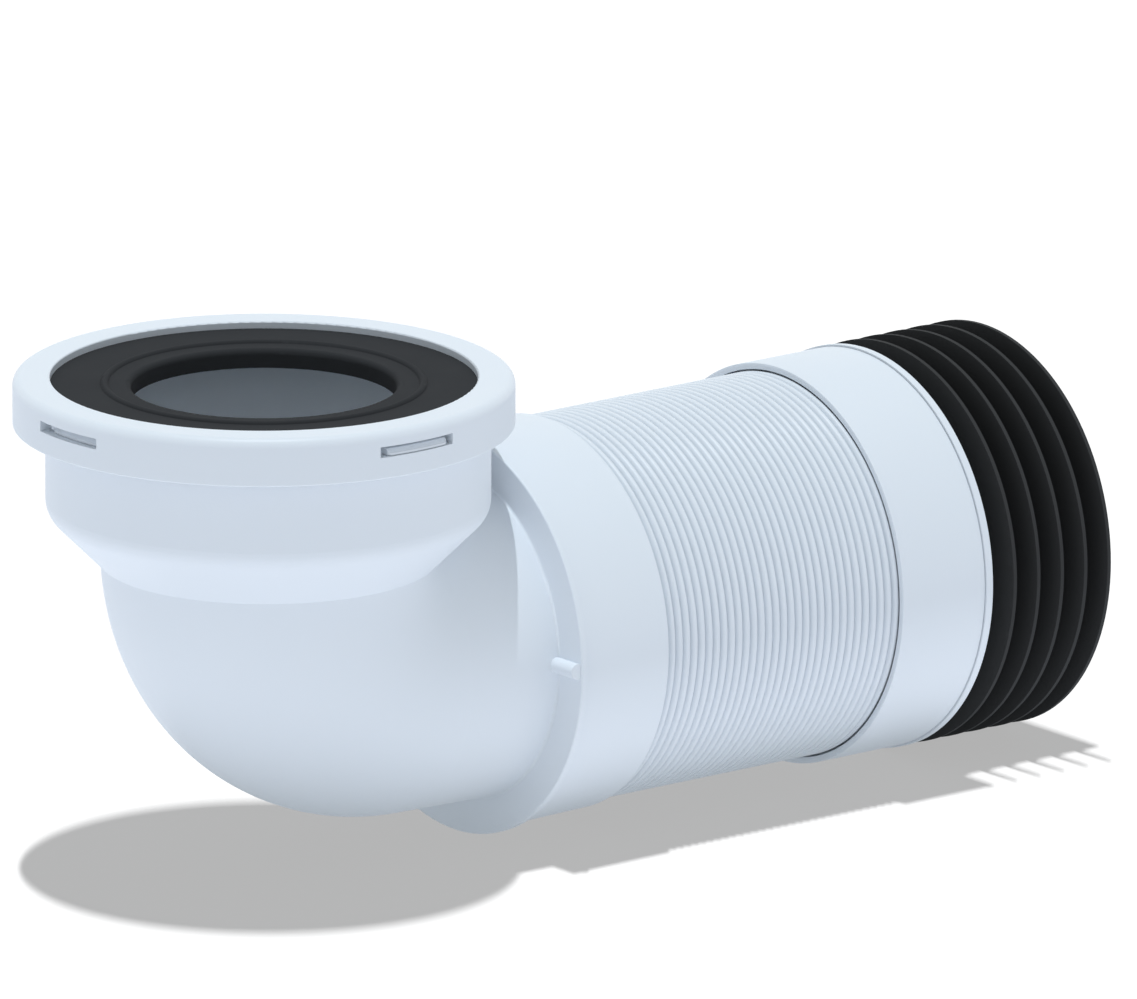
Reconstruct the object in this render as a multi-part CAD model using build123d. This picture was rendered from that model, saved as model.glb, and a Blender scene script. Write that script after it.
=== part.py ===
"""Toilet pan connector: a tight elbow with a snapped-on inlet ring and rubber seal at its mouth, and a
bellows pipe that pulls out along its axis and ends in a finned rubber seal for the soil pipe.

Frame: the origin is the centre of the inlet seal's hole, in the plane of the cup's rim. +Z points up out
of the mouth, and +X points along the outlet pipe, away from the elbow. Sizes are in millimetres."""

from build123d import *
import os
from math import sqrt

# Bend and pipe
pipe_radius = 48.2            # outside of the pipe through the bend
pipe_wall = 2.8
bend_radius = 36.4            # of the centre line, less than the pipe's radius, so the throat is a crease
spigot_swell = 0.8            # the spigot widens a little towards its flange

# Cup
cup_radius = 63.8
cone_foot_height = 31.8       # of the 45 degree cone's foot on the pipe, above the outlet pipe's axis
cup_corner_rounding = 8.0
cup_to_flange_gap = 3.5       # between the cup's wall and the elbow's end flange
rim_flange_reach = 2.44
rim_flange_thickness = 3.2

# Snap lugs on the rim flange
lug_length = 21.15
lug_height = 1.85
lug_reach = 3.96              # from the rim flange out to a lug's nose
lug_ramp = 1.2                # of the slope on top, over which the ring is pushed; the catch below is flat
lug_end_chamfer = 0.6

# Inlet ring
ring_height = 13.9
ring_rounding = 2.6
ring_lip_width = 10.7
ring_lip_thickness = 2.2
ring_lip_rounding = 0.5       # of the lip's inner edge on top
ring_foot_rounding = 0.4
ring_skirt_wall = 4.0
ring_shift_x = 0.56           # the loose ring sits this far from the cup's axis, towards the elbow's back
ring_shift_y = 1.24           # and this far to one side
ring_above_flange = 12.8      # from the elbow's end flange up to the ring's foot

# Inlet seal
seal_thickness = 2.0
seal_hole_radius = 38.0
seal_lip_depth = 5.6          # from the seal's top face down to the foot of its lip
seal_lip_width = 3.2
seal_lip_draft = 1.6          # the lip is this much wider at its root
seal_lip_rounding = 1.6
seal_bead_offset = 7.65       # from the hole's edge out to the middle of the raised ring
seal_bead_radius = 1.35
seal_bead_sink = 0.5          # of that circle's middle below the face

# Elbow's end flange and the tubes inside the bellows' cuffs
cuff_step = 5.2               # from the spigot's end out to the tube inside the first cuff
cuff_tube_wall = 2.4
cuff_tube_end_gap = 2.5       # from the end of a tube inside a cuff to the nearest fold
flange_step = 1.4             # the flange stands this far out of the collar
flange_thickness = 1.9
flange_root_rounding = 0.8
flange_rim_rounding = 0.6
rod_diameter = 4.6            # of the two half-round bars across the flange's face
rod_stand = 0.9               # of the bars' centre lines in front of that face
rod_setback = 0.8             # of the bars' ends inside the flange's rim

# Bellows
fold_count = 33
fold_pitch = 2.735
fold_lead = 0.73              # the first fold starts this far inside the collar's end
fold_rise = 0.8               # the folds' crests stand this far out of the cuffs
fold_depth = 2.3
bellows_wall = 0.9            # under the folds' valleys
cuff_wall = 1.0

# Cuff rings over the bellows' ends
collar_length = 31.3
collar_wall = 2.6
sleeve_wall = 3.0
sleeve_grip_length = 26.24    # of the sleeve's closed part, over the last cuff
sleeve_cover = 4.16           # how far the sleeve's open mouth reaches over the folds
mouth_gap = 0.35              # between the fold crests and the mouths of the collar and the sleeve
collar_taper = 0.6            # fall of the collar's outer radius towards its far end
sleeve_taper = 0.1

# Outlet tube and its lip
lip_step = 0.45               # the lip stands this far out of the sleeve
lip_thickness = 2.6
lip_rounding = 0.6            # of the lip's edge next to the seal
outlet_step = 11.6            # from the tube inside the last cuff in to the outlet tube
outlet_wall = 2.4
outlet_corner_rounding = 3.0

# Outlet seal
fin_count = 5
fin_reach = 14.8              # from the seal's sleeve out to the fins' tips
fin_pitch = 8.7
fin_tip_thickness = 1.2
fin_root_thickness = 1.8
first_fin_gap = 7.4           # from the outlet tube's lip to the first fin's tip
last_fin_gap = 5.9            # from the last fin's tip to the end of the outlet tube
outlet_seal_wall = 1.6
outlet_seal_nose = 1.5        # rubber folded over the end of the outlet tube

# Clearances
slide_clearance = 0.2         # between the bellows' cuffs and what grips them
ring_clearance = 0.3          # least room between the rim's flange and the ring's skirt
window_foot_clearance = 0.15  # under a lug in its window, where the ring catches
window_head_clearance = 1.1
window_end_clearance = 1.09   # least room at a lug's end, with the ring pushed to that side
overcut = 1.0                 # how far a cutting tool runs past what it cuts

# Radii, from the pipe outwards
pipe_bore = pipe_radius - pipe_wall
spigot_end_radius = pipe_radius + spigot_swell
cuff_tube_radius = spigot_end_radius + cuff_step
cuff_tube_bore = cuff_tube_radius - cuff_tube_wall
cuff_inner_radius = cuff_tube_radius + slide_clearance
cuff_outer_radius = cuff_inner_radius + cuff_wall
grip_radius = cuff_outer_radius + slide_clearance
fold_crest_radius = cuff_outer_radius + fold_rise
fold_valley_radius = fold_crest_radius - fold_depth
mouth_radius = fold_crest_radius + mouth_gap
collar_radius = grip_radius + collar_wall
flange_radius = collar_radius + flange_step
sleeve_radius = grip_radius + sleeve_wall
lip_radius = sleeve_radius + lip_step
outlet_radius = cuff_tube_radius - outlet_step
outlet_bore = outlet_radius - outlet_wall
seal_core_radius = outlet_radius + outlet_seal_wall
fin_radius = seal_core_radius + fin_reach

# Radii at the mouth, from the cup outwards
rim_flange_radius = cup_radius + rim_flange_reach
lug_nose_radius = rim_flange_radius + lug_reach
ring_play = sqrt(ring_shift_x ** 2 + ring_shift_y ** 2)
skirt_bore = rim_flange_radius + ring_play + ring_clearance
ring_radius = skirt_bore + ring_skirt_wall
ring_opening_radius = ring_radius - ring_lip_width

# Heights above the outlet pipe's axis
cup_corner_height = cone_foot_height + cup_radius - pipe_radius
ring_top = seal_thickness + ring_lip_thickness
ring_foot = ring_top - ring_height
rim_height = flange_radius + ring_above_flange - ring_foot

# Places along the outlet pipe, from the vertical axis
spigot_length = cup_radius + cup_to_flange_gap
collar_start = spigot_length + flange_thickness
collar_end = collar_start + collar_length
folds_start = collar_end - fold_lead
folds_end = folds_start + fold_count * fold_pitch
sleeve_start = folds_end - sleeve_cover
lip_start = folds_end + sleeve_grip_length
lip_end = lip_start + lip_thickness
fins_start = lip_end + first_fin_gap
outlet_end = fins_start + (fin_count - 1) * fin_pitch + fin_tip_thickness + last_fin_gap

# The elbow's own frame stands on the crossing of its two axes
elbow_frame = Pos(ring_shift_x, -ring_shift_y, -rim_height)


def turned_about_z(outline):
    """A solid of revolution about Z from an outline in the (radius, height) plane."""
    return revolve(Plane.XZ * outline, axis=Axis.Z)


def turned_about_x(outline):
    """A solid of revolution about X from an outline in the (distance along the pipe, radius) plane."""
    return revolve(outline, axis=Axis.X)


def corners(points):
    """A flat face with straight sides."""
    return make_face(Polyline(*points, close=True))


def rounded(face, rounding, *places):
    """The face with its corners at the given places rounded."""
    picked = [v for v in face.vertices() for x, y in places if abs(v.X - x) < 0.01 and abs(v.Y - y) < 0.01]
    return fillet(picked, rounding)


def bent_pipe(radius, top, end, end_radius):
    """A solid round bar from a height down through the bend and out to a distance along X.

    The centre line bends more tightly than the bar is wide. So only the part of the section outside the
    bend's axis is turned, and the two straight legs run into each other in the throat."""
    section = Circle(radius) - Pos(bend_radius + radius, 0) * Rectangle(2 * radius, 3 * radius)
    turning_axis = Axis((bend_radius, 0, bend_radius), (0, 1, 0))
    bend = revolve(Pos(0, 0, bend_radius) * section, axis=turning_axis, revolution_arc=-90)
    upright = Pos(0, 0, bend_radius) * Cylinder(
        radius, top - bend_radius, align=(Align.CENTER, Align.CENTER, Align.MIN))
    outline = corners([(bend_radius, 0), (bend_radius, radius), (end, end_radius), (end, 0)])
    return bend + upright + turned_about_x(outline)


def quarter_turns(shape):
    """Four copies of a shape, one on each side."""
    return [Rot(0, 0, 90 * turn) * shape for turn in range(4)]


def cup_outside():
    """The solid form of the cup: rim flange, straight wall and 45 degree cone into the bend."""
    cone_foot = pipe_bore
    foot_height = cup_corner_height - (cup_radius - cone_foot)
    flange_foot = rim_height - rim_flange_thickness
    outline = corners([
        (0, foot_height), (cone_foot, foot_height), (cup_radius, cup_corner_height),
        (cup_radius, flange_foot), (rim_flange_radius, flange_foot), (rim_flange_radius, rim_height),
        (0, rim_height)])
    return turned_about_z(rounded(outline, cup_corner_rounding, (cup_radius, cup_corner_height)))


def cup_inside():
    """The hollow of the cup, one wall inside its outer form."""
    bore = cup_radius - pipe_wall
    corner_height = cup_corner_height + pipe_wall * (sqrt(2) - 1)
    foot = pipe_bore - pipe_wall
    foot_height = corner_height - (bore - foot)
    outline = corners([(0, foot_height), (foot, foot_height), (bore, corner_height),
                       (bore, rim_height + overcut), (0, rim_height + overcut)])
    return turned_about_z(rounded(outline, cup_corner_rounding - pipe_wall, (bore, corner_height)))


def snap_lug():
    """One of the cup's four lugs, which stands in a window of the ring.

    In plan it is cut from a disc by a wedge, whose slanting sides chamfer the lug's two ends."""
    half = lug_length / 2
    foot = rim_height - rim_flange_thickness
    corner = sqrt(lug_nose_radius ** 2 - half ** 2) - lug_end_chamfer
    root = cup_radius - pipe_wall / 2
    blank = turned_about_z(corners([
        (0, foot), (lug_nose_radius, foot), (lug_nose_radius, foot + lug_height - lug_ramp),
        (lug_nose_radius - lug_ramp, foot + lug_height), (0, foot + lug_height)]))
    plan = corners([(-root, -half), (-corner, -half), (-corner - half, 0), (-corner, half), (-root, half)])
    return blank & Pos(0, 0, foot - overcut) * extrude(plan, amount=lug_height + 2 * overcut)


def inlet_elbow():
    """Cup, bend, spigot, end flange with its two bars, and the tube that the bellows' cuff fits over."""
    tube_end = folds_start - cuff_tube_end_gap
    flange = corners([
        (bend_radius, 0), (bend_radius, pipe_radius), (spigot_length, spigot_end_radius),
        (spigot_length, flange_radius), (collar_start, flange_radius), (collar_start, cuff_tube_radius),
        (tube_end, cuff_tube_radius), (tube_end, 0)])
    flange = rounded(flange, flange_root_rounding, (spigot_length, spigot_end_radius))
    flange = rounded(flange, flange_rim_rounding, (spigot_length, flange_radius))
    bars = Pos(spigot_length - rod_stand, 0, 0) * Rot(90, 0, 0) * Cylinder(
        rod_diameter / 2, 2 * (flange_radius - rod_setback))
    solid = bent_pipe(pipe_radius, cup_corner_height, spigot_length, spigot_end_radius)
    solid += [turned_about_x(flange), bars, cup_outside()]
    solid += quarter_turns(snap_lug())
    tube_bore = corners([
        (collar_start, 0), (collar_start, cuff_tube_bore),
        (tube_end + overcut, cuff_tube_bore), (tube_end + overcut, 0)])
    solid -= bent_pipe(pipe_bore, cup_corner_height, collar_start + overcut, pipe_bore)
    solid -= [cup_inside(), turned_about_x(tube_bore)]
    return elbow_frame * solid


def inlet_ring():
    """The ring that holds the seal down, with four windows that snap over the cup's lugs."""
    outline = corners([
        (ring_opening_radius, seal_thickness), (skirt_bore, seal_thickness), (skirt_bore, ring_foot),
        (ring_radius, ring_foot), (ring_radius, ring_top), (ring_opening_radius, ring_top)])
    outline = rounded(outline, ring_lip_rounding, (ring_opening_radius, ring_top))
    outline = rounded(outline, ring_foot_rounding, (ring_radius, ring_foot))
    ring = turned_about_z(rounded(outline, ring_rounding, (ring_radius, ring_top)))
    window_foot = -rim_flange_thickness - window_foot_clearance
    window_length = lug_length + 2 * (ring_play + window_end_clearance)
    window_height = lug_height + window_foot_clearance + window_head_clearance
    window = Pos(-ring_radius, 0, window_foot) * Box(
        3 * ring_skirt_wall, window_length, window_height, align=(Align.CENTER, Align.CENTER, Align.MIN))
    return ring - quarter_turns(window)


def inlet_seal():
    """The soft disc that grips the pan's spout, with a rounded lip and a raised bead on its face."""
    lip_outer = seal_hole_radius + seal_lip_width
    foot = seal_thickness - seal_lip_depth
    outer = skirt_bore - ring_clearance
    outline = corners([
        (seal_hole_radius, foot), (lip_outer, foot), (lip_outer + seal_lip_draft, 0), (outer, 0),
        (outer, seal_thickness), (seal_hole_radius, seal_thickness)])
    outline = rounded(outline, seal_lip_rounding, (seal_hole_radius, seal_thickness))
    bead_height = seal_thickness - seal_bead_sink
    bead = Pos(seal_hole_radius + seal_bead_offset, bead_height) * Circle(seal_bead_radius)
    return turned_about_z(outline + bead)


def bellows():
    """The pleated pipe, with a plain cuff at each end."""
    first_cuff = collar_start + slide_clearance
    last_cuff = lip_start - slide_clearance
    bore = fold_valley_radius - bellows_wall
    folds = []
    for fold in range(fold_count):
        start = folds_start + fold * fold_pitch
        folds += [(start, fold_valley_radius), (start + fold_pitch / 2, fold_crest_radius)]
    outline = corners([
        (first_cuff, cuff_inner_radius), (first_cuff, cuff_outer_radius), (folds_start, cuff_outer_radius),
        *folds, (folds_end, fold_valley_radius), (folds_end, cuff_outer_radius),
        (last_cuff, cuff_outer_radius), (last_cuff, cuff_inner_radius), (folds_end, cuff_inner_radius),
        (folds_end, bore), (folds_start, bore), (folds_start, cuff_inner_radius)])
    return elbow_frame * turned_about_x(outline)


def elbow_cuff_ring():
    """The collar that clamps the bellows' first cuff against the elbow's flange."""
    mouth_start = folds_start - slide_clearance
    outline = corners([
        (collar_start, grip_radius), (collar_start, collar_radius), (collar_end, collar_radius - collar_taper),
        (collar_end, mouth_radius), (mouth_start, mouth_radius), (mouth_start, grip_radius)])
    return elbow_frame * turned_about_x(outline)


def outlet_cuff_ring():
    """The sleeve that clamps the bellows' last cuff; its open mouth reaches over the folds."""
    mouth_end = folds_end + slide_clearance
    outline = corners([
        (sleeve_start, mouth_radius), (sleeve_start, sleeve_radius),
        (lip_start, sleeve_radius - sleeve_taper), (lip_start, grip_radius), (mouth_end, grip_radius),
        (mouth_end, mouth_radius)])
    return elbow_frame * turned_about_x(outline)


def outlet_tube():
    """The rigid end: a tube inside the bellows' last cuff, a lip, and the narrower tube under the seal."""
    cuff_start = folds_end + cuff_tube_end_gap
    outline = corners([
        (cuff_start, cuff_tube_bore), (cuff_start, cuff_tube_radius), (lip_start, cuff_tube_radius),
        (lip_start, lip_radius), (lip_end, lip_radius), (lip_end, outlet_radius),
        (outlet_end, outlet_radius), (outlet_end, outlet_bore), (lip_start, outlet_bore),
        (lip_start, cuff_tube_bore)])
    outline = rounded(outline, lip_rounding, (lip_end, lip_radius))
    return elbow_frame * turned_about_x(rounded(outline, outlet_corner_rounding, (lip_start, outlet_bore)))


def outlet_seal():
    """The rubber sleeve with five thin fins that seals in the soil pipe."""
    end = outlet_end + outlet_seal_nose
    outline = corners([
        (lip_end, outlet_radius), (lip_end, seal_core_radius), (end, seal_core_radius), (end, outlet_bore),
        (outlet_end, outlet_bore), (outlet_end, outlet_radius)])
    fin_foot = outlet_radius + outlet_seal_wall / 2
    root = fin_root_thickness / 2
    tip = fin_tip_thickness / 2
    for fin in range(fin_count):
        centre = fins_start + tip + fin * fin_pitch
        outline += corners([
            (centre - root, fin_foot), (centre - tip, fin_radius), (centre + tip, fin_radius),
            (centre + root, fin_foot)])
    return elbow_frame * turned_about_x(outline)


pieces = {
    "inlet_elbow": inlet_elbow(),
    "inlet_ring": inlet_ring(),
    "inlet_seal": inlet_seal(),
    "elbow_cuff_ring": elbow_cuff_ring(),
    "bellows": bellows(),
    "outlet_cuff_ring": outlet_cuff_ring(),
    "outlet_tube": outlet_tube(),
    "outlet_seal": outlet_seal(),
}

os.makedirs("parts", exist_ok=True)
for name, solid in pieces.items():
    export_step(solid, f"parts/{name}.step")
    print(name, round(solid.volume / 1000, 2), "cm3")
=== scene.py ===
# %% [markdown]
# # A flexible toilet pan connector
#
# The real object is a plumbing fitting in white plastic, most likely polypropylene, and black rubber. A cup
# with a snapped-on ring and a soft seal takes the pan's spout. Below it a tight elbow turns the flow level,
# and a bellows pipe leads on to a black seal with five fins, which is pushed into the soil pipe.
#
# The fitting's solids come as a fixed frame, already at their size and place. This lesson dresses them: it
# keeps the moulded and rubber pieces, turns the bellows and its sleeve anew with finer shapes, mixes the
# plastics and the rubbers, and lights the whole for a picture.

# %% Open the frame, with a helper for its pieces' boxes
import math

import bmesh
import bpy
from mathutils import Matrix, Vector


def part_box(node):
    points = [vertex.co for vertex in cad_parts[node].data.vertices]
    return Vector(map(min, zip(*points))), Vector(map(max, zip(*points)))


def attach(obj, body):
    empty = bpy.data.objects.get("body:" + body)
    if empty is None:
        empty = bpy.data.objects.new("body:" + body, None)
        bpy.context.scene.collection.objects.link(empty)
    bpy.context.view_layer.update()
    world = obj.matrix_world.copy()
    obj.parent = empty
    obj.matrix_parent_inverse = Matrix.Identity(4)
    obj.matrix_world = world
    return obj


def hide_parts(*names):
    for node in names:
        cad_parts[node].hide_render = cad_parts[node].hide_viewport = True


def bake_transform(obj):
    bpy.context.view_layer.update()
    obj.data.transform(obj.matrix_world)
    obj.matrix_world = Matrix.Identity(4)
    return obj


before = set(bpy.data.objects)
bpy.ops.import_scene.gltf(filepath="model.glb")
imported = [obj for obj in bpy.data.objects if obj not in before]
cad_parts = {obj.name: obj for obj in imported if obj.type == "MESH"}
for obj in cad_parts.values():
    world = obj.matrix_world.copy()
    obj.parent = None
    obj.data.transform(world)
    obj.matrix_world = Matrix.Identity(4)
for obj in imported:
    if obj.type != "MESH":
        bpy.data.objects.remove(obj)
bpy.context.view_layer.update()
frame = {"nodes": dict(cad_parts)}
print("nodes:", sorted(frame["nodes"]))

# %% [markdown]
# ## Where the pipe runs
#
# Everything on the outlet side is round about one line, the axis of the outlet pipe. A learner could type
# that line's height in by hand, but then the pieces would drift off the frame after any change of size. So it
# is read from the bellows' box: the middle of its Y and Z extents is the axis.

# %% Read the pipe's axis and the stations along it
MM = 0.001


def middle(node):
    """The centre of a node's box."""
    low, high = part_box(node)
    return (low + high) / 2


pipe_y = middle("bellows").y
pipe_z = middle("bellows").z
collar_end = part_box("elbow_cuff_ring")[1].x
sleeve_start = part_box("outlet_cuff_ring")[0].x
sleeve_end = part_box("outlet_cuff_ring")[1].x
floor_z = min(low.z for low, high in map(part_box, frame["nodes"]))
print("pipe axis at y", round(pipe_y, 4), "z", round(pipe_z, 4), "floor at", round(floor_z, 4))

# %% [markdown]
# ## A turning helper
#
# The bellows and the sleeve are turned shapes: a profile swept once round an axis, as on a lathe. In Blender
# that is the spin operator. The profile is a closed chain of edges in one plane. Its corners are rounded
# first, while they are only points, because a rounding on the profile costs a few points, and the same
# rounding on the finished ring would have to be found edge by edge.
#
# A full spin merges its first and last copies. Spin can leave the faces pointing inwards, so the normals are
# recalculated at the end, after the merge.

# %% Turn a profile about the pipe
merge_distance = 0.000001
sharp_angle = math.radians(40)


def chain(bm, points):
    """A closed chain of edges in the XZ plane through points of (along, out), in millimetres."""
    made = [bm.verts.new((along * MM, 0.0, out * MM)) for along, out in points]
    for here, there in zip(made, made[1:] + made[:1]):
        bm.edges.new((here, there))
    return made


def soften(bm, corners, radius, steps=3):
    """Rounds the given corner points of a chain."""
    bmesh.ops.bevel(bm, geom=corners, offset=radius * MM, offset_type="OFFSET", segments=steps,
                    profile=0.5, affect="VERTICES", material=-1)


def as_piece(name, bm):
    """An object at the origin from a finished bmesh, shaded smooth with its sharp edges kept."""
    bmesh.ops.recalc_face_normals(bm, faces=bm.faces[:])
    mesh = bpy.data.meshes.new(name)
    bm.to_mesh(mesh)
    bm.free()
    mesh.shade_smooth()
    mesh.set_sharp_from_angle(angle=sharp_angle)
    piece = bpy.data.objects.new(name, mesh)
    bpy.context.scene.collection.objects.link(piece)
    print(name, len(mesh.polygons), "faces")
    return piece


def turned(name, points, roundings, steps):
    """A closed ring about the pipe's axis, from a profile of (along, out) points in millimetres.

    roundings maps a radius in millimetres to the numbers of the corners that get it."""
    bm = bmesh.new()
    corners = chain(bm, points)
    for radius, picked in roundings.items():
        soften(bm, [corners[i] for i in picked], radius)
    bmesh.ops.spin(bm, geom=bm.verts[:] + bm.edges[:], cent=(0, 0, 0), axis=(1, 0, 0), dvec=(0, 0, 0),
                   angle=math.tau, steps=steps, use_merge=True, use_normal_flip=False, use_duplicate=False)
    bmesh.ops.remove_doubles(bm, verts=bm.verts[:], dist=merge_distance)
    bmesh.ops.translate(bm, verts=bm.verts[:], vec=(0, pipe_y, pipe_z))
    return as_piece(name, bm)


# %% [markdown]
# ## The bellows
#
# The pleated pipe is most likely blow-moulded: a soft tube is blown into a ribbed mould, so its wall is thin
# and even. The folds run from just inside the collar to the sleeve. Under the sleeve they have stopped, and a
# plain neck leads on to the last cuff, so the sleeve's mouth looks into the dark.
#
# The folds open when the outlet end is pulled out. Here the finished mesh stays fixed in place, with its
# transform applied to its points.

# %% Set the folds' pitch and place, in millimetres
fold_count = 32
fold_pitch = 2.735
fold_lead = 1.0
crest = 56.2
depth = 2.3
wall = 0.8
cuff_out = 55.4
cuff_in = 54.4
neck_length = 3.0
folds_from = collar_end / MM - fold_lead
folds_to = folds_from + fold_count * fold_pitch
neck_to = folds_to + neck_length
cuff_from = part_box("bellows")[0].x / MM
cuff_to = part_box("bellows")[1].x / MM
print("folds from", round(folds_from, 2), "to", round(folds_to, 2), "of", round(cuff_from, 2), "to",
      round(cuff_to, 2), "mm")

# %% [markdown]
# ### One fold, many times
#
# A wave texture on a tube would leave the outline straight. Here one fold is drawn as a few points and
# repeated along the pipe, for the outside and, with fewer points and about one wall further in, for the
# inside.
#
# How deep the folds go can't be seen from outside. Their outline is an estimate: a curved ramp on the elbow's
# side, a narrow flat crest and a steep back, which the camera doesn't see, give about the real pipe's thin
# dark lines with soft ramps between them.

# %% Draw the folds and turn them
bellows_steps = 180

# one fold from slit to slit: along the pipe and down from the crest, in millimetres
outer_fold = [(0.0, depth), (0.12, 1.3), (0.23, 0.91), (0.44, 0.47), (0.58, 0.3), (0.74, 0.15), (0.93, 0.04),
              (1.17, 0.0), (1.58, 0.0), (1.8, 0.06), (1.93, 0.2), (1.97, 0.3)]
inner_fold = [(0.0, depth + wall), (0.75, 1.0), (1.7, 1.0)]


def folds(line):
    """The points of all folds from the collar to the sleeve."""
    return [(folds_from + fold * fold_pitch + along, crest - down)
            for fold in range(fold_count) for along, down in line]


outside = folds(outer_fold) + [(folds_to, crest - depth), (neck_to, crest - depth)]
inside = [(folds_from - wall, crest - depth - wall)] + folds(inner_fold)
inside += [(neck_to + wall, crest - depth - wall)]
profile = [(cuff_from, cuff_in), (cuff_from, cuff_out), (folds_from, cuff_out)] + outside
profile += [(neck_to, cuff_out), (cuff_to, cuff_out), (cuff_to, cuff_in), (neck_to + wall, cuff_in)]
profile += inside[::-1] + [(folds_from - wall, cuff_in)]
bellows = turned("bellows_folds", profile, {}, bellows_steps)

# %% [markdown]
# ## The sleeve's mouth
#
# The sleeve over the last cuff has a thin mouth that stands half a millimetre clear of the folds. That gap is
# the darkest line on the white plastic, so the sleeve is turned anew with the mouth at its full width and its
# edges just broken. At its other end a fine groove parts it from the lip.

# %% Turn the sleeve
sleeve_out = (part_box("outlet_cuff_ring")[1].z - pipe_z) / MM
sleeve_draft = 0.1
sleeve_grip = 55.6
sleeve_mouth = 56.72
mouth_rounding = 0.2
grip_clearance = 0.3
groove = 0.24
sleeve_steps = 192
grip_from = neck_to + grip_clearance
start, end = sleeve_start / MM, sleeve_end / MM - groove
sleeve = turned("outlet_sleeve", [
    (start, sleeve_mouth), (start, sleeve_out), (end, sleeve_out - sleeve_draft), (end, sleeve_grip),
    (grip_from, sleeve_grip), (grip_from, sleeve_mouth)], {mouth_rounding: [0, 1]}, sleeve_steps)

# %% [markdown]
# ## Materials: what the groups are for
#
# A moulded plastic is never quite one colour or one gloss. The melt cools unevenly, so the tone drifts over a
# few centimetres, and the tool's fine spark finish shows as a grain of a few tenths of a millimetre. Handling
# adds faint scuffs, which change the gloss more than the colour. These effects serve the white plastic and
# the black rubber alike, so each is a node group, built once and placed with its own values.

# %% A small helper for node groups
def new_group(name, inputs, outputs):
    """An empty shader group with inputs {name: number or colour} and outputs [(name, socket type)]."""
    group = bpy.data.node_groups.new(name, "ShaderNodeTree")
    for label, default in inputs.items():
        kind = "NodeSocketColor" if isinstance(default, tuple) else "NodeSocketFloat"
        group.interface.new_socket(label, in_out="INPUT", socket_type=kind).default_value = default
    for label, kind in outputs:
        group.interface.new_socket(label, in_out="OUTPUT", socket_type=kind)
    return group, group.nodes.new("NodeGroupInput"), group.nodes.new("NodeGroupOutput")


def noise_at(group, scale_socket, detail, roughness=0.5):
    """A noise texture on object coordinates whose scale comes from a socket."""
    nodes, links = group.nodes, group.links
    place = nodes.new("ShaderNodeTexCoord")
    noise = nodes.new("ShaderNodeTexNoise")
    noise.inputs["Detail"].default_value = detail
    noise.inputs["Roughness"].default_value = roughness
    links.new(place.outputs["Object"], noise.inputs["Vector"])
    links.new(scale_socket, noise.inputs["Scale"])
    return noise


def math_node(tree, operation, first, second):
    """A math node; each operand is a socket or a number."""
    node = tree.nodes.new("ShaderNodeMath")
    node.operation = operation
    for slot, value in zip(node.inputs, (first, second)):
        if isinstance(value, (int, float)):
            slot.default_value = value
        else:
            tree.links.new(value, slot)
    return node.outputs[0]


# %% [markdown]
# ### Tone drift
#
# The first group shades a colour towards a second one by a soft noise of a few centimetres. The spread says
# how far it may go, and on a clean new part the colour changes by only a few percent.

# %% Group: tone drift
def build_tone_drift():
    group, given, out = new_group("tone_drift", {
        "Colour": (0.8, 0.8, 0.8, 1), "Other Colour": (0.7, 0.7, 0.7, 1), "Spread": 0.3, "Scale": 30.0},
        [("Colour", "NodeSocketColor")])
    noise = noise_at(group, given.outputs["Scale"], detail=3.0)
    share = math_node(group, "MULTIPLY", noise.outputs["Fac"], given.outputs["Spread"])
    mix = group.nodes.new("ShaderNodeMix")
    mix.data_type = "RGBA"
    group.links.new(share, mix.inputs["Factor"])
    group.links.new(given.outputs["Colour"], mix.inputs["A"])
    group.links.new(given.outputs["Other Colour"], mix.inputs["B"])
    group.links.new(mix.outputs["Result"], out.inputs["Colour"])
    return group


tone_drift = build_tone_drift()
print("group:", tone_drift.name)

# %% [markdown]
# ### Handling and grain
#
# The second group gives a roughness that wanders about a middle value, with long soft patches where hands
# have polished the surface and finer scuffs on top. The third gives a height for the spark grain. A Bump node
# turns the height into a normal in the material itself.

# %% Groups: gloss and grain
scuff_fineness = 14.0
scuff_share = 0.5
middle_of_both = 0.5 + 0.5 * scuff_share


def build_gloss_wander():
    group, given, out = new_group(
        "gloss_wander", {"Roughness": 0.4, "Wander": 0.1, "Scale": 60.0}, [("Roughness", "NodeSocketFloat")])
    patches = noise_at(group, given.outputs["Scale"], detail=2.0)
    fine_scale = math_node(group, "MULTIPLY", given.outputs["Scale"], scuff_fineness)
    scuffs = noise_at(group, fine_scale, detail=5.0, roughness=0.65)
    both = math_node(group, "MULTIPLY_ADD", scuffs.outputs["Fac"], scuff_share)
    group.links.new(patches.outputs["Fac"], both.node.inputs[2])
    centred = math_node(group, "SUBTRACT", both, middle_of_both)
    moved = math_node(group, "MULTIPLY", centred, given.outputs["Wander"])
    total = math_node(group, "ADD", moved, given.outputs["Roughness"])
    group.links.new(total, out.inputs["Roughness"])
    return group


def build_spark_grain():
    group, given, out = new_group(
        "spark_grain", {"Grain Size": 0.0004, "Height": 1.0}, [("Height", "NodeSocketFloat")])
    scale = math_node(group, "DIVIDE", 1.0, given.outputs["Grain Size"])
    grain = noise_at(group, scale, detail=2.0, roughness=0.6)
    height = math_node(group, "MULTIPLY", grain.outputs["Fac"], given.outputs["Height"])
    group.links.new(height, out.inputs["Height"])
    return group


gloss_wander = build_gloss_wander()
spark_grain = build_spark_grain()
print("groups:", gloss_wander.name, spark_grain.name)

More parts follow.
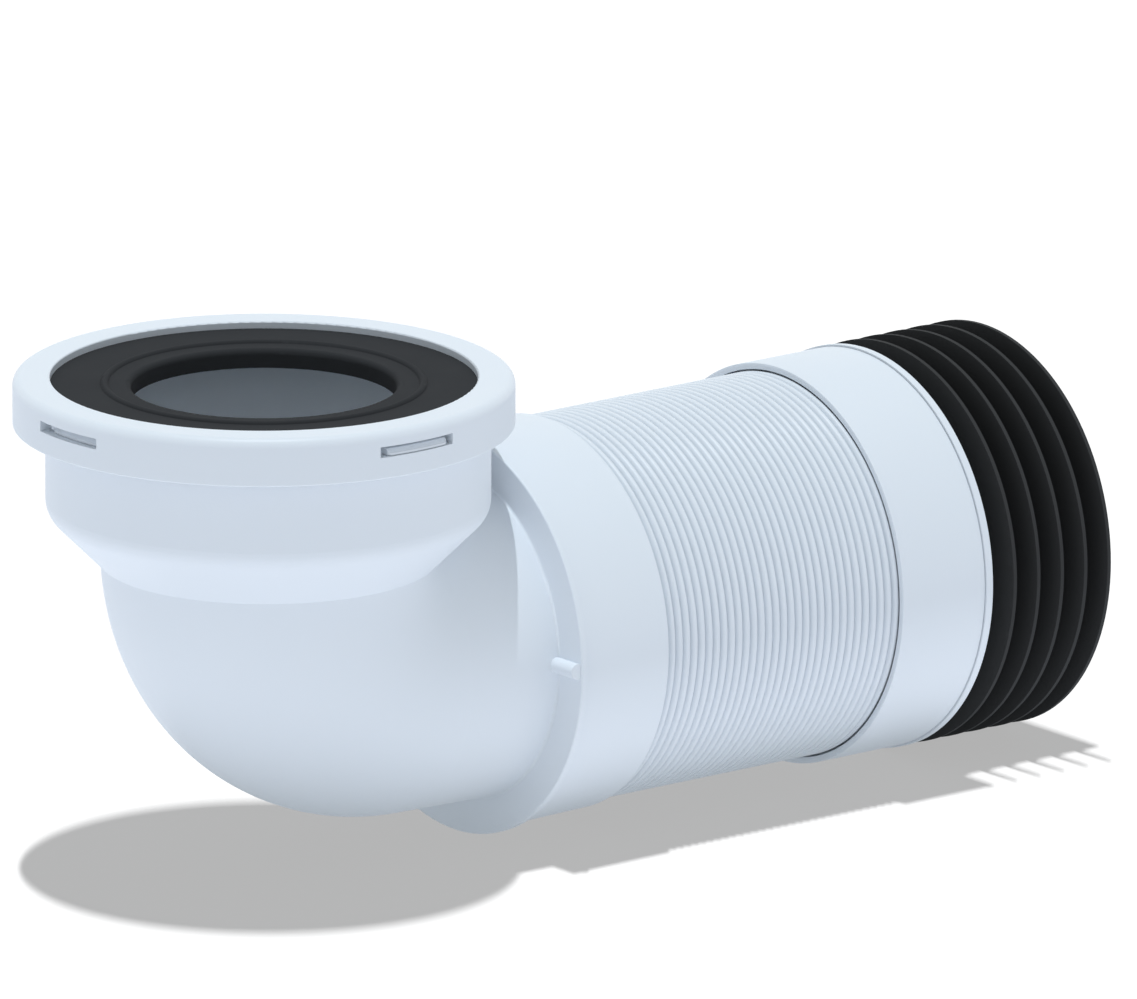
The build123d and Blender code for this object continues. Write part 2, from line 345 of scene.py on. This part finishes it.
# %% [markdown]
# ## The plastics and the rubbers
#
# Polypropylene is a little waxy: light goes in a short way and comes out again, and its gloss is satin. The
# tint is a cold white. The rubber is dull and nearly black. Moulded edges are never razor sharp, and a Bevel
# node rounds the shading of the few that are left sharp, by about a tenth of a millimetre.

# %% Mix a moulded finish
wax_depth = 0.002
wax_spread = (1.0, 0.9, 0.8)
edge_samples = 6


def finish(name, colour, other, spread, roughness, wander, grain_size, grain_depth, edge, specular, waxy=0.0):
    """A Principled material dressed with the three groups. Sizes are in metres."""
    material = bpy.data.materials.new(name)
    material.use_nodes = True
    nodes, links = material.node_tree.nodes, material.node_tree.links
    shader = nodes["Principled BSDF"]
    shader.inputs["Subsurface Weight"].default_value = waxy
    shader.inputs["Subsurface Radius"].default_value = wax_spread
    shader.inputs["Subsurface Scale"].default_value = wax_depth
    shader.inputs["Specular IOR Level"].default_value = specular

    tone = nodes.new("ShaderNodeGroup")
    tone.node_tree = tone_drift
    tone.inputs["Colour"].default_value = (*colour, 1)
    tone.inputs["Other Colour"].default_value = (*other, 1)
    tone.inputs["Spread"].default_value = spread
    links.new(tone.outputs["Colour"], shader.inputs["Base Color"])

    gloss = nodes.new("ShaderNodeGroup")
    gloss.node_tree = gloss_wander
    gloss.inputs["Roughness"].default_value = roughness
    gloss.inputs["Wander"].default_value = wander
    links.new(gloss.outputs["Roughness"], shader.inputs["Roughness"])

    grain = nodes.new("ShaderNodeGroup")
    grain.node_tree = spark_grain
    grain.inputs["Grain Size"].default_value = grain_size
    bump = nodes.new("ShaderNodeBump")
    bump.inputs["Strength"].default_value = 1.0
    bump.inputs["Distance"].default_value = grain_depth
    links.new(grain.outputs["Height"], bump.inputs["Height"])
    rounding = nodes.new("ShaderNodeBevel")
    rounding.samples = edge_samples
    rounding.inputs["Radius"].default_value = edge
    links.new(rounding.outputs["Normal"], bump.inputs["Normal"])
    links.new(bump.outputs["Normal"], shader.inputs["Normal"])
    return material


white_plastic = finish("white_polypropylene", colour=(0.825, 0.86, 0.9), other=(0.78, 0.82, 0.865),
                       spread=0.2, roughness=0.42, wander=0.12, grain_size=0.0005, grain_depth=0.000006,
                       edge=0.00012, specular=0.3, waxy=0.04)
bellows_plastic = finish("bellows_polypropylene", colour=(0.82, 0.855, 0.895), other=(0.775, 0.815, 0.86),
                         spread=0.2, roughness=0.36, wander=0.12, grain_size=0.0006, grain_depth=0.000006,
                         edge=0.0001, specular=0.3, waxy=0.04)
black_rubber = finish("black_rubber", colour=(0.038, 0.039, 0.041), other=(0.033, 0.034, 0.036),
                      spread=0.5, roughness=0.8, wander=0.12, grain_size=0.0004, grain_depth=0.00001,
                      edge=0.00012, specular=0.04)
fin_rubber = finish("fin_rubber", colour=(0.0485, 0.0485, 0.0485), other=(0.043, 0.043, 0.043),
                    spread=0.5, roughness=0.75, wander=0.12, grain_size=0.0004, grain_depth=0.00001,
                    edge=0.0001, specular=0.06)
print("materials:", [m.name for m in (white_plastic, bellows_plastic, black_rubber, fin_rubber)])

# %% [markdown]
# ## Which piece gets which finish
#
# A frame node keeps its mesh and only takes a material. The new bellows and the new sleeve stand for the
# plain solids of the same pieces. The sleeve rides on the outlet end, and the bellows stays in place.

# %% Dress the frame and place the new pieces
finishes = {"inlet_elbow": white_plastic, "inlet_ring": white_plastic, "elbow_cuff_ring": white_plastic,
            "outlet_cuff_ring": white_plastic, "outlet_tube": white_plastic, "inlet_seal": black_rubber,
            "outlet_seal": fin_rubber, "bellows": bellows_plastic}
for node, material in finishes.items():
    frame["nodes"][node].data.materials.clear()
    frame["nodes"][node].data.materials.append(material)

bellows.data.materials.append(bellows_plastic)
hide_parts("bellows")
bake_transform(bellows)

sleeve.data.materials.append(white_plastic)
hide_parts("outlet_cuff_ring")
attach(sleeve, "outlet")
print("dressed", len(finishes), "nodes")

# %% [markdown]
# ## The floor
#
# The shadow in such catalogue pictures is one flat grey. A white floor under soft light would give a blurred,
# uneven shadow instead. So the floor itself is dark and takes strong suns of its own, which light nothing
# else, over a constant grey glow: where they are blocked only the glow is left.
#
# To the camera that glow has no tint, so the shadow is a plain grey. The light that the floor throws back on
# the fitting has the room's cold tint.

# %% Make the floor
light_tint = (0.922, 1.0, 1.06)
no_tint = (1.0, 1.0, 1.0)
floor_half_width = 3.0
floor_gap = 0.0001
floor_glow = 0.441
floor_seen = (0.05, 0.05, 0.05)
floor_cast = (0.0475, 0.05, 0.056)


def make_floor():
    bm = bmesh.new()
    bmesh.ops.create_grid(bm, x_segments=1, y_segments=1, size=floor_half_width)
    bmesh.ops.translate(bm, verts=bm.verts[:], vec=(0, 0, floor_z - floor_gap))
    floor = as_piece("floor", bm)
    material = bpy.data.materials.new("floor_white")
    material.use_nodes = True
    nodes, links = material.node_tree.nodes, material.node_tree.links
    shader = nodes["Principled BSDF"]
    shader.inputs["Roughness"].default_value = 1.0
    shader.inputs["Specular IOR Level"].default_value = 0.0
    shader.inputs["Emission Strength"].default_value = floor_glow
    ray = nodes.new("ShaderNodeLightPath")
    tints = (("Base Color", floor_cast, floor_seen), ("Emission Color", light_tint, no_tint))
    for socket, cast, seen in tints:
        tint = nodes.new("ShaderNodeMix")
        tint.data_type = "RGBA"
        tint.inputs["A"].default_value = (*cast, 1)
        tint.inputs["B"].default_value = (*seen, 1)
        links.new(ray.outputs["Is Camera Ray"], tint.inputs["Factor"])
        links.new(tint.outputs["Result"], shader.inputs[socket])
    floor.data.materials.append(material)
    return floor


floor = make_floor()

# %% [markdown]
# ## The suns
#
# A weak sun almost straight above draws the ring's shadow on the spigot. The floor's own suns stand in the
# same place. The view is low, so a round sun's soft edge looks sharp across the view and soft only along it.
# Five suns in a row, each leaning a degree further towards the camera, soften it more evenly.

# %% Hang the suns
sun_direction = Vector((-0.0138, 0.0, 1.0))
azimuth = math.radians(-38.31)
level_to_camera = Vector((math.sin(azimuth), -math.cos(azimuth), 0.0))
floor_suns = 5
floor_light = 38.0
lean_step = 1.0


def hang_sun(name, strength, spread_degrees, tint, lean_degrees=0.0, only=None):
    """A sun overhead, with a soft edge. It may lean towards the camera and light one collection only."""
    direction = sun_direction + math.tan(math.radians(lean_degrees)) * level_to_camera
    lamp = bpy.data.lights.new(name, "SUN")
    lamp.energy = strength
    lamp.color = tint
    lamp.angle = math.radians(spread_degrees)
    sun = bpy.data.objects.new(name, lamp)
    sun.rotation_mode = "QUATERNION"
    sun.rotation_quaternion = direction.to_track_quat("Z", "Y")
    sun.location = direction
    bpy.context.scene.collection.objects.link(sun)
    if only:
        sun.light_linking.receiver_collection = only


hang_sun("weak_sun", strength=1.51, spread_degrees=0.5, tint=light_tint)
floor_only = bpy.data.collections.new("floor_only")
floor_only.objects.link(floor)
for number in range(floor_suns):
    hang_sun(f"floor_sun_{number + 1}", strength=floor_light / floor_suns, spread_degrees=1.1, tint=no_tint,
             lean_degrees=lean_step * (number - (floor_suns - 1) / 2), only=floor_only)
print("suns: 1 for the whole scene and", floor_suns, "for the floor")

# %% [markdown]
# ## The room
#
# The rest of the light comes evenly from all round, from the world. Its level is low, so that the plastic
# isn't washed out, and by itself it would show as grey. So the camera, and what gloss and glass show of the
# room, get a plain white in its place.

# %% Light the room evenly and show it white
room_light = 0.48
world = bpy.data.worlds.new("pale_room")
bpy.context.scene.world = world
world.use_nodes = True
room, wires = world.node_tree.nodes, world.node_tree.links
room.clear()
path = room.new("ShaderNodeLightPath")
seen = math_node(world.node_tree, "MAXIMUM", path.outputs["Is Camera Ray"], path.outputs["Is Glossy Ray"])
seen = math_node(world.node_tree, "MAXIMUM", seen, path.outputs["Is Transmission Ray"])
soft = room.new("ShaderNodeBackground")
soft.inputs["Color"].default_value = (*light_tint, 1)
soft.inputs["Strength"].default_value = room_light
white = room.new("ShaderNodeBackground")
white.inputs["Color"].default_value = (1, 1, 1, 1)
white.inputs["Strength"].default_value = 1.0
blend_light = room.new("ShaderNodeMixShader")
wires.new(seen, blend_light.inputs["Fac"])
wires.new(soft.outputs[0], blend_light.inputs[1])
wires.new(white.outputs[0], blend_light.inputs[2])
sky = room.new("ShaderNodeOutputWorld")
wires.new(blend_light.outputs[0], sky.inputs["Surface"])
print("world:", world.name)

# %% [markdown]
# ## The camera
#
# The catalogue picture has no perspective: parallel edges stay parallel. A very long lens far away comes near
# to that, and it still frames other views by itself, which an orthographic camera doesn't. The far seal still
# comes out about a hundredth smaller than the mouth ring. The camera looks down by 15 degrees from the left
# front, and its distance follows from the width of the picture at the fitting.

# %% Set up the long lens
picture_width = 0.32539
elevation = math.radians(14.945)
looking_at = Vector((0.07556, -0.04476, -0.03562))
clear_before = 2
clear_behind = 8
camera_data = bpy.data.cameras.new("long_lens")
camera_data.lens = 1500
camera_data.sensor_width = 36
camera_data.dof.use_dof = False
distance = picture_width * camera_data.lens / camera_data.sensor_width
towards = Vector((math.sin(azimuth) * math.cos(elevation), -math.cos(azimuth) * math.cos(elevation),
                  math.sin(elevation)))
camera_data.clip_start = distance - clear_before
camera_data.clip_end = distance + clear_behind
camera = bpy.data.objects.new("long_lens", camera_data)
camera.rotation_mode = "QUATERNION"
camera.location = looking_at + towards * distance
camera.rotation_quaternion = towards.to_track_quat("Z", "Y")
bpy.context.scene.collection.objects.link(camera)
bpy.context.scene.camera = camera
bpy.context.scene.view_settings.view_transform = "Standard"
print("camera", round(distance, 2), "m away")
